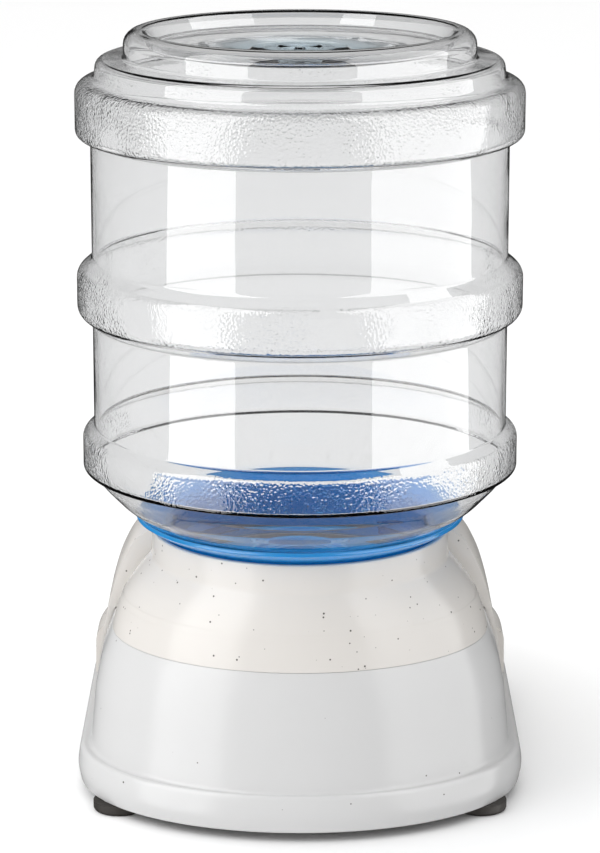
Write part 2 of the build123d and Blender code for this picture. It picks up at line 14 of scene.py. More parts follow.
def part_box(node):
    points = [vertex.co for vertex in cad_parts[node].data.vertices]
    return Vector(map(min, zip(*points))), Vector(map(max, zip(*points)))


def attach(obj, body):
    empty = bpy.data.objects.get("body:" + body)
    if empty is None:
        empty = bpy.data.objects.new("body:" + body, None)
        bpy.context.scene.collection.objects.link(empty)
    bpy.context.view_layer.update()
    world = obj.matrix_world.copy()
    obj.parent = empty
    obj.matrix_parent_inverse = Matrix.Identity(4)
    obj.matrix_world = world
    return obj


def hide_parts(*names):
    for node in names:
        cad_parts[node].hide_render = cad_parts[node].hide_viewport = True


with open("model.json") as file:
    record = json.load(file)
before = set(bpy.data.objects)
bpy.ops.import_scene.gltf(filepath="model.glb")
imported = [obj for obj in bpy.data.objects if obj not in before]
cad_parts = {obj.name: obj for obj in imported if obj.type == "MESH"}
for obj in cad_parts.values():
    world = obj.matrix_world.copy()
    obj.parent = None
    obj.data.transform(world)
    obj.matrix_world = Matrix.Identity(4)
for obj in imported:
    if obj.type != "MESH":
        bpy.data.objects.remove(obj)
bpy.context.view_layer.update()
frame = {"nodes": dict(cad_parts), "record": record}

bl_info = {
    "name": "Gravity Water Dispenser",
    "version": (1, 0, 0),
    "blender": (4, 5, 0),
    "location": "View3D > Sidebar > Dispenser",
    "description": "Builds a gravity water dispenser around its packed model",
    "category": "Object",
}

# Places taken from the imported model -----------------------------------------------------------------

MM = 0.001
BOTTLE_LOW, BOTTLE_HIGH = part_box("bottle")
BOTTLE_Y = (BOTTLE_LOW.y + BOTTLE_HIGH.y) / 2 / MM
BASE_LOW, BASE_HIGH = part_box("lower_shell")
BOWL_Y = BASE_HIGH.y / MM - BASE_HIGH.x / MM
POLE = 1e-4  # a radius below this is a point on the axis

# Bottle: outer outline from the middle of the recessed end to the neck, as (radius, height, corner radius)
BOTTLE_WALL = 1.5
BOTTLE_OUTLINE = [
    (0.0, 301.8, 0.0),
    (14.0, 301.8, 3.0),
    (56.5, 304.0, 2.5),
    (60.5, 310.0, 2.5),
    (68.9, 310.0, 5.5),
    (68.9, 299.4, 0.9),
    (79.6, 299.0, 3.2),
    (80.6, 291.6, 2.2),
    (88.0, 289.6, 5.0),
    (88.0, 269.2, 3.4),
    (82.1, 268.0, 0.8),
    (82.1, 220.6, 2.2),
    (88.1, 215.6, 5.5),
    (88.1, 199.6, 5.0),
    (82.1, 195.6, 1.6),
    (82.1, 153.4, 0.9),
    (86.6, 149.8, 3.4),
    (86.6, 136.6, 1.0),
    (83.6, 136.0, 0.6),
    (79.6, 130.6, 30.0),
    (72.4, 123.1, 30.0),
    (65.0, 117.2, 30.0),
    (56.5, 112.1, 3.0),
    (52.0, 111.2, 1.6),
    (52.0, 93.0, 0.0),
]
END_NUB = [  # the moulded ring and gate mark in the middle of the end, outside only
    (0.0, 303.0, 0.0),
    (1.8, 303.0, 0.5),
    (2.4, 302.2, 0.4),
    (8.0, 302.2, 0.5),
    (9.2, 303.2, 0.6),
    (18.4, 303.2, 0.6),
    (20.0, 302.1, 0.8),
]
NECK_LUG = (51.0, 54.2, 95.6, 98.4)
RING_BANDS = [(269.8, 290.2), (199.4, 216.6), (136.4, 150.6)]  # the heights of the pebbled rings


# The cap's blue seen through the clear plastic, a painted refraction in the plastic's colour, as the span
# over which it fades out, and its colour
SHOULDER_REFRACTION_SPAN = (113.5, 119.0)  # heights
SHOULDER_PAINTED_REFRACTION = (0.42, 0.66, 0.9, 1.0)
END_REFRACTION_SPAN = (18.0, 46.0)  # distances from the middle of the bottle's end
END_PAINTED_REFRACTION = (0.78, 0.91, 0.98, 1.0)
EDGE_PAINTED_SHADE = (0.02, 0.02, 0.022, 1.0)  # painted shade: the colour that a wall seen edge-on is darkened to

# Valve cap: closed outline of its section, from the hole in its floor, as (radius, height, corner radius)
CAP_OUTLINE = [
    (15.1, 88.5, 0.3),
    (56.3, 88.5, 1.2),
    (56.3, 110.3, 0.3),
    (61.5, 112.8, 30.0),
    (66.0, 115.6, 0.5),
    (65.2, 116.9, 0.5),
    (61.0, 114.2, 30.0),
    (56.5, 111.7, 3.0),
    (54.6, 111.2, 0.5),
    (54.6, 91.0, 1.0),
    (20.7, 91.0, 1.2),
    (20.7, 100.5, 0.9),
    (17.8, 100.5, 0.9),
    (17.8, 98.5, 0.3),
    (15.1, 98.5, 0.3),
]
CAP_LUG = (52.4, 55.0, 98.7, 101.5)
LUG_COUNT = 3
LUG_ANGLE = math.radians(50)
GRIP_RIBS = 36
GRIP_RIB_R = 0.7
GRIP_RIB_EDGE_R = 0.35
GRIP_RIB_LOW, GRIP_RIB_HIGH = 88.6, 104.0
PEG_SPOT_R = 40.0
PEG_OUTLINE = [(0.0, 94.0, 0.0), (3.6, 94.0, 0.8), (3.6, 89.5, 0.0), (0.0, 89.5, 0.0)]

# Lower shell: closed outline of its wall as (half-width, depth behind the axis, height, corner radius)
LEDGE_Z = 19.3
SEAM_Z = 68.4
SHELL_OUTLINE = [
    (89.4, 69.0, 4.1, 0.9),
    (90.9, 70.0, 10.8, 14.0),
    (89.6, 69.4, 19.3, 2.6),
    (85.3, 66.9, 19.3, 2.2),
    (83.0, 66.4, 44.0, 60.0),
    (80.8, 65.8, 55.0, 60.0),
    (76.0, 64.7, 68.4, 0.9),
    (73.6, 62.3, 68.4, 0.5),
    (78.4, 63.4, 55.0, 60.0),
    (80.6, 64.0, 44.0, 60.0),
    (81.6, 64.0, 19.3, 0.6),
    (81.6, 64.0, 16.9, 0.6),
    (88.0, 67.4, 16.9, 1.5),
    (88.5, 67.6, 10.8, 10.0),
    (87.0, 66.6, 4.1, 0.6),
]
TAB_SIZE = (22.0, 12.0)
TAB_Z = 18.1
TAB_SHIFT = 1.1  # a tab's middle is this many times as far out as its screw
FOOT_BOSS_R = 7.0
FOOT_BOSS_Z = (4.1, 18.5)
CUT_TOP = 90.0  # the cut that clears the front of the shell passes well beyond it
CUT_REACH = 220.0
CUT_HALF_WIDTH = 100.0

# Collar and dome: closed outline as (half-width, depth, height, corner radius)
COLLAR_OUTLINE = [
    (73.1, 61.8, 62.4, 0.5),
    (73.1, 61.8, 68.8, 0.3),
    (75.9, 64.7, 68.8, 0.6),
    (74.6, 64.3, 76.0, 60.0),
    (71.2, 63.3, 83.5, 40.0),
    (66.8, 61.9, 90.0, 40.0),
    (62.8, 60.7, 95.0, 30.0),
    (59.7, 59.7, 98.8, 3.0),
    (59.6, 59.6, 110.2, 1.0),
    (57.4, 57.4, 110.2, 0.8),
    (57.4, 57.4, 84.0, 0.3),
    (58.9, 58.3, 84.0, 0.3),
    (58.9, 58.3, 94.0, 0.5),
    (64.2, 59.4, 90.0, 10.0),
    (68.7, 60.8, 83.5, 30.0),
    (72.1, 61.8, 76.0, 2.0),
    (71.2, 59.9, 71.2, 0.5),
    (71.2, 59.9, 62.4, 0.5),
]
FEET = ("foot_rear_left", "foot_rear_right", "foot_front_left", "foot_front_right")
BASIN_SCREWS = [(x, y) for x in (-68.0, 68.0) for y in (-4.0, 44.0)]
HOOD_TABS = [(62.0, 44.0, 22.0, 13.0), (30.0, 64.0, 13.0, 17.0)]  # x, y, length along x, along y
HOOD_TAB_Z = (71.0, 74.0)

# Front hood: its arch seen from behind, and its side outline from the bottle's axis as (y, z)
WALL = 2.4
GAP = 0.6
HOOD_ARCH = [
    (85.3, 19.9),
    (84.3, 38.0),
    (82.4, 52.0),
    (78.3, 71.5),
    (73.3, 86.9),
    (66.0, 98.6),
    (52.0, 104.4),
    (26.0, 106.6),
    (0.0, 107.0),
]
HOOD_FACE = [(60.5, 107.0), (91.0, 42.6)]
HOOD_SIDE = [
    (22.0, 120.0),
    (22.0, 68.8),
    (34.0, 19.3),
    (85.0, 19.3),
    (85.0, 42.6),
    (140.0, 42.6),
    (140.0, 120.0),
]
HOOD_INSIDE = [(19.6, 0.0), (19.6, 68.8), (24.4, 68.8), (24.4, 120.0), (140.0, 120.0), (140.0, 0.0)]
HOOD_FACE_SHIFT = 2.7
HOOD_EDGE_R = 7.0
HOOD_RIM_R = 0.35
HOOD_HALF_BLOCK = 120.0  # the solids that shape the hood pass well beyond it
HOOD_BLOCK_REAR = 40.0
HOOD_BLOCK_FRONT = 200.0
HOOD_BLOCK_FOOT = -20.0
FACE_BLOCK_REAR = -60.0
FACE_BLOCK_Z = (-30.0, 130.0)
HOOD_BOSSES = [(62.0, 44.0, 74.0, 97.0), (30.0, 65.5, 74.0, 86.0)]  # x, y, low, high
BOSS_R = 4.0

# Screws: one shape for all, standing on the head
SCREW_HEAD_R = 3.2
SCREW_HEAD = 2.0
SCREW_R = 1.6
SCREW_ROOT_R = 1.2
SCREW_PITCH = 1.25
SCREW_SLOT = (3.6, 0.8, 1.0)
SCREW_TIP = 1.5  # the length over which the tip narrows
SCREW_TIP_SHARE = 0.6
SCREW_SUNK = 0.2  # how far the shank starts inside the head

FACES_ROUND = 192  # in a full turn of the collar and the cut for its dome
CAP_FACES_ROUND = 160

# Finishes that nobody would want to change from the panel
SPECKS_PER_METRE = 300.0
SPECK_SIZES = (0.05, 0.14)  # as shares of the distance between specks
SPECK_COLOUR = (0.05, 0.045, 0.04, 1.0)
CREAM_SPECKS = 0.55  # the share of places that hold a speck
GREY_SPECKS = 0.08
RING_FADE = 1.6  # height over which the pebbles begin and end
SHADOW_PASS = (0.93, 0.93, 0.93, 1.0)  # what a clear wall lets through of a shadow
FOOT_BLACK = (0.024, 0.02, 0.016)
SEAL_BLACK = (0.09, 0.09, 0.1)
ZINC = (0.55, 0.55, 0.56)
WIRE = (0.6, 0.6, 0.6)
ACETAL = (0.8, 0.8, 0.78)
FLOOR_WHITE = (0.98, 0.98, 0.98)
LAMP_AIM_HEIGHT = 0.15


# Mesh helpers -----------------------------------------------------------------------------------------


def round_corners(points, radii, steps=6, closed=False):
    """Return a path's points with each corner rounded to its radius; a closed path rounds every corner."""
    path = [Vector(point) for point in points]
    count = len(path)
    rounded = [] if closed else [path[0]]
    for index in range(0 if closed else 1, count if closed else count - 1):
        before, corner, after = path[index - 1], path[index], path[(index + 1) % count]
        radius = radii[index]
        back, ahead = (before - corner).normalized(), (after - corner).normalized()
        half_turn = back.angle(ahead) / 2
        if radius == 0 or half_turn > math.radians(89):
            rounded.append(corner)
            continue
        reach = radius / math.tan(half_turn)
        centre = corner + (back + ahead).normalized() * radius / math.sin(half_turn)
        start, end = corner + back * reach - centre, corner + ahead * reach - centre
        sweep = start.angle(end)
        for step in range(steps + 1):
            first, second = math.sin(sweep * (1 - step / steps)), math.sin(sweep * step / steps)
            rounded.append(centre + (start * first + end * second) / math.sin(sweep))
    if not closed:
        rounded.append(path[-1])
    return rounded


def offset_path(points, distance):
    """Move an open (radius, height) path sideways by a distance, to its right as it runs."""
    path = [Vector(point) for point in points]
    normals = []
    for start, end in zip(path, path[1:]):
        along = (end - start).normalized()
        normals.append(Vector((along.y, -along.x)))
    moved = [path[0] + normals[0] * distance]
    for index in range(1, len(path) - 1):
        middle = (normals[index - 1] + normals[index]).normalized()
        moved.append(path[index] + middle * distance / middle.dot(normals[index]))
    moved.append(path[-1] + normals[-1] * distance)
    return moved


def circle_plan(segments):
    """Return a plan that draws an ellipse round the bottle's axis."""

    def plan(half_width, depth):
        turns = [2 * math.pi * index / segments for index in range(segments)]
        return [(half_width * math.cos(turn), BOTTLE_Y + depth * math.sin(turn)) for turn in turns]

    return plan


def skin(loop, plan, closed=True):
    """Skin a mesh over the plan's outline drawn at each (half-width, depth, height) of a loop."""
    mesh = bmesh.new()
    rings = []
    for half_width, depth, height in loop:
        if half_width < POLE:
            rings.append([mesh.verts.new((0, BOTTLE_Y * MM, height * MM))])
        else:
            outline = plan(half_width, depth)
            rings.append([mesh.verts.new((x * MM, y * MM, height * MM)) for x, y in outline])
    following = rings[1:] + rings[:1] if closed else rings[1:]
    for lower, upper in zip(rings, following):
        count = max(len(lower), len(upper))
        for index in range(count):
            after = (index + 1) % count
            corners = [lower[index % len(lower)], lower[after % len(lower)]]
            corners += [upper[after % len(upper)], upper[index % len(upper)]]
            corners = list(dict.fromkeys(corners))
            if len(corners) > 2:
                mesh.faces.new(corners)
    bmesh.ops.recalc_face_normals(mesh, faces=mesh.faces)
    return mesh


def lathe(loop, segments, closed=True):
    """Turn a loop of (radius, height) points round the bottle's axis."""
    return skin([(radius, radius, height) for radius, height in loop], circle_plan(segments), closed)


def add_round(mesh, spot, outline):
    """Add a solid of revolution to a mesh, turned about an upright axis at a spot."""
    points = round_corners([corner[:2] for corner in outline], [corner[2] for corner in outline])
    shape = lathe(points, 32, closed=False)
    shift = Vector((spot[0], spot[1] - BOTTLE_Y, 0)) * MM
    bmesh.ops.translate(shape, verts=shape.verts, vec=shift)
    absorb(mesh, shape)


def add_block(mesh, centre, size, edge=0.5):
    """Add a block with softened edges to a mesh."""
    block = bmesh.new()
    place = Matrix.Translation(Vector(centre) * MM) @ Matrix.Diagonal((*(side * MM for side in size), 1))
    bmesh.ops.create_cube(block, size=1, matrix=place)
    bmesh.ops.bevel(block, geom=block.edges[:], offset=edge * MM, segments=2, affect="EDGES", profile=0.5)
    absorb(mesh, block)


def add_lugs(mesh, size, segments=16):
    """Add the quarter-turn lugs, short ring segments evenly spaced round the bottle's axis."""
    inner_r, outer_r, low, high = size
    section = [(inner_r, low), (outer_r, low), (outer_r, high), (inner_r, high)]
    for index in range(LUG_COUNT):
        lug = bmesh.new()
        start = 2 * math.pi * index / LUG_COUNT
        rings = []
        for step in range(segments + 1):
            turn = start + LUG_ANGLE * step / segments
            across = Vector((math.cos(turn), math.sin(turn), 0))
            corners = [across * radius + Vector((0, BOTTLE_Y, height)) for radius, height in section]
            rings.append([lug.verts.new(corner * MM) for corner in corners])
        for first, second in zip(rings, rings[1:]):
            for side in range(4):
                after = (side + 1) % 4
                lug.faces.new((first[side], first[after], second[after], second[side]))
        lug.faces.new(rings[0])
        lug.faces.new(rings[-1][::-1])
        bmesh.ops.recalc_face_normals(lug, faces=lug.faces)
        absorb(mesh, lug)


def absorb(mesh, other):
    """Add another mesh's geometry to a mesh and free the other."""
    data = bpy.data.meshes.new("passing")
    other.to_mesh(data)
    other.free()
    mesh.from_mesh(data)
    bpy.data.meshes.remove(data)


def prism(name, outline, axis, low, high):
    """Make an object by extruding a closed outline: (x, z) points along Y, or (y, z) points along X."""
    mesh = bmesh.new()
    ends = []
    for level in (low, high):
        points = [(x, level, z) if axis == "Y" else (level, x, z) for x, z in outline]
        ends.append([mesh.verts.new(Vector(point) * MM) for point in points])
    for index in range(len(outline)):
        after = (index + 1) % len(outline)
        mesh.faces.new((ends[0][index], ends[0][after], ends[1][after], ends[1][index]))
    mesh.faces.new(ends[0])
    mesh.faces.new(ends[1][::-1])
    bmesh.ops.recalc_face_normals(mesh, faces=mesh.faces)
    return make_piece(name, mesh, None)


def settle(piece):
    """Turn a piece with its modifiers into a plain mesh."""
    graph = bpy.context.evaluated_depsgraph_get()
    data = bpy.data.meshes.new_from_object(piece.evaluated_get(graph))
    piece.modifiers.clear()
    piece.data = data


def carve(piece, cutter, operation="DIFFERENCE"):
    """Cut a piece with a cutter, or keep what they share, and remove the cutter."""
    modifier = piece.modifiers.new("carve", "BOOLEAN")
    modifier.object = cutter
    modifier.operation = operation
    modifier.solver = "EXACT"
    settle(piece)
    bpy.data.objects.remove(cutter)


def soften(piece, width, segments=5, angle=30):
    """Round a piece's edges that are sharper than the angle."""
    modifier = piece.modifiers.new("soften", "BEVEL")
    modifier.width = width * MM
    modifier.segments = segments
    modifier.limit_method = "ANGLE"
    modifier.angle_limit = math.radians(angle)
    settle(piece)


def smooth_path(points, steps=8):
    """Return points along a smooth curve through the given points."""
    path = [Vector(point) for point in points]
    path = [path[0] * 2 - path[1], *path, path[-1] * 2 - path[-2]]
    smooth = []
    for first, second, third, fourth in zip(path, path[1:], path[2:], path[3:]):
        for step in range(steps):
            t = step / steps
            turn = (third - first) * t + (first * 2 - second * 5 + third * 4 - fourth) * t**2
            smooth.append(second + (turn + (second * 3 - first - third * 3 + fourth) * t**3) / 2)
    return [*smooth, path[-2]]


def refinish(piece, material, sharp_angle=35):
    """Give a carved piece its one material and its smooth shading."""
    piece.data.materials.clear()
    piece.data.materials.append(material)
    piece.data.shade_smooth()
    piece.data.set_sharp_from_angle(angle=math.radians(sharp_angle))


def base_plan(half_width, depth, rear=96, front=96, side=10):
    """Draw the base's plan: a half-ellipse behind the bottle, straight sides and a round front."""
    points = []
    for index in range(rear):
        turn = math.pi + math.pi * index / rear
        points.append((half_width * math.cos(turn), BOTTLE_Y + depth * math.sin(turn)))
    for index in range(side):
        points.append((half_width, BOTTLE_Y + (BOWL_Y - BOTTLE_Y) * index / side))
    for index in range(front):
        turn = math.pi * index / front
        points.append((half_width * math.cos(turn), BOWL_Y + half_width * math.sin(turn)))
    for index in range(side):
        points.append((-half_width, BOWL_Y + (BOTTLE_Y - BOWL_Y) * index / side))
    return points


def copies_tree():
    """Build the node tree that sets a copy of an object on each point, turned to face an axis."""
    tree = bpy.data.node_groups.new("copies_round_axis", "GeometryNodeTree")
    tree.interface.new_socket("Geometry", in_out="INPUT", socket_type="NodeSocketGeometry")
    tree.interface.new_socket("Copy", in_out="INPUT", socket_type="NodeSocketObject")
    tree.interface.new_socket("Axis", in_out="INPUT", socket_type="NodeSocketVector")
    tree.interface.new_socket("Material", in_out="INPUT", socket_type="NodeSocketMaterial")
    tree.interface.new_socket("Geometry", in_out="OUTPUT", socket_type="NodeSocketGeometry")
    new, link = tree.nodes.new, tree.links.new
    entry, leave = new("NodeGroupInput"), new("NodeGroupOutput")
    shape = new("GeometryNodeObjectInfo")
    link(entry.outputs["Copy"], shape.inputs["Object"])
    away = new("ShaderNodeVectorMath")
    away.operation = "SUBTRACT"
    link(new("GeometryNodeInputPosition").outputs[0], away.inputs[0])
    link(entry.outputs["Axis"], away.inputs[1])
    turned = new("FunctionNodeAlignRotationToVector")
    turned.axis = "X"
    turned.pivot_axis = "Z"
    link(away.outputs[0], turned.inputs["Vector"])
    placed = new("GeometryNodeInstanceOnPoints")
    link(entry.outputs["Geometry"], placed.inputs["Points"])
    link(shape.outputs["Geometry"], placed.inputs["Instance"])
    link(turned.outputs[0], placed.inputs["Rotation"])
    real = new("GeometryNodeRealizeInstances")
    link(placed.outputs[0], real.inputs[0])
    coated = new("GeometryNodeSetMaterial")
    link(real.outputs[0], coated.inputs["Geometry"])
    link(entry.outputs["Material"], coated.inputs["Material"])
    link(coated.outputs[0], leave.inputs[0])
    return tree


def set_copies(name, template, spots, axis, material):
    """Set a copy of the template on each (x, y, z) spot with the node tree, as one plain mesh."""
    data = bpy.data.meshes.new(name)
    data.from_pydata([Vector(spot) * MM for spot in spots], [], [])
    piece = bpy.data.objects.new(name, data)
    bpy.context.scene.collection.objects.link(piece)
    modifier = piece.modifiers.new("copies", "NODES")
    modifier.node_group = bpy.data.node_groups.get("copies_round_axis") or copies_tree()
    values = {"Copy": template, "Axis": Vector(axis) * MM, "Material": material}
    for socket in modifier.node_group.interface.items_tree:
        if socket.in_out == "INPUT" and socket.name in values:
            modifier[socket.identifier] = values[socket.name]
    settle(piece)
    bpy.data.objects.remove(template)
    return piece


def make_piece(name, mesh, material, sharp_angle=35):
    """Make an object of a bmesh, smooth but for edges sharper than the angle, and put it in the scene."""
    data = bpy.data.meshes.new(name)
    mesh.to_mesh(data)
    mesh.free()
    data.shade_smooth()
    data.set_sharp_from_angle(angle=math.radians(sharp_angle))
    if material is not None:
        data.materials.append(material)
    piece = bpy.data.objects.new(name, data)
    bpy.context.scene.collection.objects.link(piece)
    return piece


def stand_for(piece, body, slot, *nodes):
    """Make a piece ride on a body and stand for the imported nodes."""
    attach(piece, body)
    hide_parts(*nodes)


# Material helpers -------------------------------------------------------------------------------------


class Recipe:
    """A material being put together: each node is added with the values or links of its inputs."""

    def __init__(self, name):
        self.material = bpy.data.materials.new(name)
        self.material.use_nodes = True
        self.tree = self.material.node_tree
        self.tree.nodes.clear()
        self.output = self.add("ShaderNodeOutputMaterial")
        self.place = self.add("ShaderNodeTexCoord").outputs["Object"]

    def add(self, kind, inputs=None, **settings):
        """Add a node, set it up, and set or link its inputs."""
        node = self.tree.nodes.new(kind)
        for key, value in settings.items():
            setattr(node, key, value)
        for socket, value in (inputs or {}).items():
            if isinstance(value, bpy.types.NodeSocket):
                self.tree.links.new(value, node.inputs[socket])
            else:
                node.inputs[socket].default_value = value
        return node

    def noise(self, scale, detail=2.0):
        """Return soft noise between 0 and 1 at so many lumps in a metre."""
        node = self.add("ShaderNodeTexNoise", {"Vector": self.place, "Scale": scale, "Detail": detail})
        return node.outputs["Fac"]

    def math(self, operation, first, second=0.0):
        """Return the result of a two-input sum."""
        return self.add("ShaderNodeMath", {0: first, 1: second}, operation=operation).outputs[0]

    def span(self, value, low, high, start, end):
        """Map a value from low..high smoothly on to start..end."""
        inputs = {"Value": value, "From Min": low, "From Max": high, "To Min": start, "To Max": end}
        return self.add("ShaderNodeMapRange", inputs, interpolation_type="SMOOTHSTEP").outputs["Result"]

    def mix(self, factor, first, second):
        """Return a colour between two colours."""
        return self.add("ShaderNodeMix", {0: factor, 6: first, 7: second}, data_type="RGBA").outputs[2]

    def bump(self, height, distance, strength=1.0, under=None):
        """Return a normal raised by a height, laid over another bump if one is given."""
        inputs = {"Height": height, "Distance": distance, "Strength": strength}
        if under is not None:
            inputs["Normal"] = under
        return self.add("ShaderNodeBump", inputs).outputs["Normal"]

    def finish(self, shader):
        """Link the shader to the output and return the material."""
        self.tree.links.new(shader, self.output.inputs["Surface"])
        return self.material


def tone(colour, factor):
    """Return a colour made lighter or darker, with full alpha."""
    return (*(min(1.0, channel * factor) for channel in colour[:3]), 1.0)


def speckled_plastic(name, colour, speck_share, gloss):
    """Gloss moulded plastic with fine dark specks, a faint mottle and a faint orange-peel."""
    recipe = Recipe(name)
    mottle = recipe.mix(recipe.noise(14.0, 3.0), tone(colour, 0.985), tone(colour, 1.015))
    cells = recipe.add("ShaderNodeTexVoronoi", {"Vector": recipe.place, "Scale": SPECKS_PER_METRE})
    pick = recipe.add("ShaderNodeSeparateColor", {"Color": cells.outputs["Color"]})
    chosen = recipe.math("GREATER_THAN", pick.outputs["Red"], 1.0 - speck_share)
    size = recipe.span(pick.outputs["Green"], 0.0, 1.0, *SPECK_SIZES)
    gap = recipe.math("SUBTRACT", cells.outputs["Distance"], size)
    speck = recipe.math("MULTIPLY", recipe.span(gap, -0.04, 0.01, 0.92, 0.0), chosen)
    shade = recipe.mix(speck, mottle, SPECK_COLOUR)
    peel = recipe.bump(recipe.noise(110.0, 1.0), 0.0001, 0.05)
    grain = recipe.bump(recipe.noise(2600.0, 2.0), 0.00002, 0.2, peel)
    rough = recipe.span(recipe.noise(60.0, 2.0), 0.3, 0.7, gloss, gloss + 0.05)
    inputs = {"Base Color": shade, "Roughness": rough, "Normal": grain, "IOR": 1.48}
    inputs["Specular IOR Level"] = 0.3
    return recipe.finish(recipe.add("ShaderNodeBsdfPrincipled", inputs).outputs["BSDF"])


def clear_plastic(name, tint, pebble, pebble_height):
    """Clear blow-moulded plastic, pebbled on the rings, that lets lamp light through, with the cap's blue
    painted in as a painted refraction and with painted shade where a wall is seen edge-on.
    """
    recipe = Recipe(name)
    height_up = recipe.add("ShaderNodeSeparateXYZ", {"Vector": recipe.place}).outputs["Z"]
    mask = None
    edge = RING_FADE * MM
    for low, high in RING_BANDS:
        above = recipe.span(height_up, low * MM, low * MM + edge, 0.0, 1.0)
        below = recipe.span(height_up, high * MM - edge, high * MM, 1.0, 0.0)
        band = recipe.math("MULTIPLY", above, below)
        mask = band if mask is None else recipe.math("ADD", mask, band)
    wobble = recipe.bump(recipe.noise(28.0, 1.0), 0.0006, 0.35)
    inputs = {"Vector": recipe.place, "Scale": 1.0 / pebble, "Smoothness": 0.6}
    cells = recipe.add("ShaderNodeTexVoronoi", inputs, feature="SMOOTH_F1")
    patches = recipe.math("MULTIPLY", mask, recipe.span(recipe.noise(45.0, 2.0), 0.35, 0.65, 0.2, 1.0))
    pebbles = recipe.math("MULTIPLY", cells.outputs["Distance"], patches)
    normal = recipe.bump(pebbles, pebble_height, 0.7, wobble)
    rough = recipe.span(mask, 0.0, 1.0, 0.01, 0.05)
    # painted refraction: the cap's blue, seen through the shoulder and the middle of the end, is painted
    # into the plastic's colour by height and by distance from the end's middle
    low, high = SHOULDER_REFRACTION_SPAN
    at_shoulder = recipe.span(height_up, low * MM, high * MM, 1.0, 0.0)
    tint_and_painted_refraction = recipe.mix(at_shoulder, tone(tint, 1.0), SHOULDER_PAINTED_REFRACTION)
    middle = (0.0, BOTTLE_Y * MM, BOTTLE_HIGH.z)
    away = recipe.add("ShaderNodeVectorMath", {0: recipe.place, 1: middle}, operation="DISTANCE")
    inner, outer = END_REFRACTION_SPAN
    at_end = recipe.span(away.outputs["Value"], inner * MM, outer * MM, 1.0, 0.0)
    tint_and_painted_refraction = recipe.mix(at_end, tint_and_painted_refraction, END_PAINTED_REFRACTION)
    # painted shade: the plastic's colour darkens where the wall is seen edge-on, standing in for the dark
    # lines along a clear wall's edges
    edge_on = recipe.add("ShaderNodeLayerWeight", {"Blend": 0.5}).outputs["Facing"]
    painted_edge_shade = recipe.span(edge_on, 0.87, 0.94, 0.0, 0.9)
    shade = recipe.mix(painted_edge_shade, tint_and_painted_refraction, EDGE_PAINTED_SHADE)
    inputs = {"Base Color": shade, "Roughness": rough, "Normal": normal, "IOR": 1.52}
    inputs["Transmission Weight"] = 1.0
    plastic = recipe.add("ShaderNodeBsdfPrincipled", inputs).outputs["BSDF"]
    path = recipe.add("ShaderNodeLightPath")
    through = recipe.math("MAXIMUM", path.outputs["Is Shadow Ray"], path.outputs["Is Diffuse Ray"])
    open_air = recipe.add("ShaderNodeBsdfTransparent", {"Color": SHADOW_PASS}).outputs["BSDF"]
    lit = recipe.add("ShaderNodeMixShader", {0: through, 1: plastic, 2: open_air})
    return recipe.finish(lit.outputs["Shader"])


def tinted_plastic(name, colour):
    """Gloss translucent coloured plastic with a faint flow pattern."""
    recipe = Recipe(name)
    shade = recipe.mix(recipe.noise(22.0, 3.0), tone(colour, 0.85), tone(colour, 1.15))
    normal = recipe.bump(recipe.noise(180.0, 2.0), 0.0001, 0.25)
    rough = recipe.span(recipe.noise(120.0, 3.0), 0.3, 0.7, 0.12, 0.2)
    inputs = {"Base Color": shade, "Roughness": rough, "Normal": normal, "IOR": 1.5}
    inputs["Transmission Weight"] = 0.5
    return recipe.finish(recipe.add("ShaderNodeBsdfPrincipled", inputs).outputs["BSDF"])


def rubber(name, colour):
    """Matt rubber with a fine grain and dusty patches."""
    recipe = Recipe(name)
    shade = recipe.mix(recipe.noise(130.0, 4.0), tone(colour, 0.8), tone(colour, 1.5))
    normal = recipe.bump(recipe.noise(1800.0, 3.0), 0.0001, 0.5)
    rough = recipe.span(recipe.noise(200.0, 3.0), 0.3, 0.7, 0.62, 0.8)
    inputs = {"Base Color": shade, "Roughness": rough, "Normal": normal}
    return recipe.finish(recipe.add("ShaderNodeBsdfPrincipled", inputs).outputs["BSDF"])


def steel(name, colour, roughness):
    """Plated or drawn steel with fine streaks."""
    recipe = Recipe(name)
    shade = recipe.mix(recipe.noise(700.0, 3.0), tone(colour, 0.85), tone(colour, 1.1))
    normal = recipe.bump(recipe.noise(3000.0, 2.0), 0.00002, 0.4)
    rough = recipe.span(recipe.noise(900.0, 2.0), 0.3, 0.7, roughness, roughness + 0.12)
    inputs = {"Base Color": shade, "Roughness": rough, "Normal": normal, "Metallic": 1.0}
    return recipe.finish(recipe.add("ShaderNodeBsdfPrincipled", inputs).outputs["BSDF"])


def valve_plastic(name, colour):
    """Natural white machined plastic, slightly waxy."""
    recipe = Recipe(name)
    shade = recipe.mix(recipe.noise(60.0, 3.0), tone(colour, 0.94), tone(colour, 1.04))
    normal = recipe.bump(recipe.noise(1500.0, 2.0), 0.00004, 0.4)
    rough = recipe.span(recipe.noise(300.0, 2.0), 0.3, 0.7, 0.38, 0.48)
    inputs = {"Base Color": shade, "Roughness": rough, "Normal": normal, "Subsurface Weight": 0.1}
    inputs["Subsurface Radius"] = (0.002, 0.002, 0.002)
    return recipe.finish(recipe.add("ShaderNodeBsdfPrincipled", inputs).outputs["BSDF"])


def floor_paint(name, colour):
    """Pale smooth floor with the faintest unevenness."""
    recipe = Recipe(name)
    shade = recipe.mix(recipe.noise(2.0, 2.0), tone(colour, 0.995), tone(colour, 1.0))
    inputs = {"Base Color": shade, "Roughness": 0.8, "Specular IOR Level": 0.1}
    return recipe.finish(recipe.add("ShaderNodeBsdfPrincipled", inputs).outputs["BSDF"])


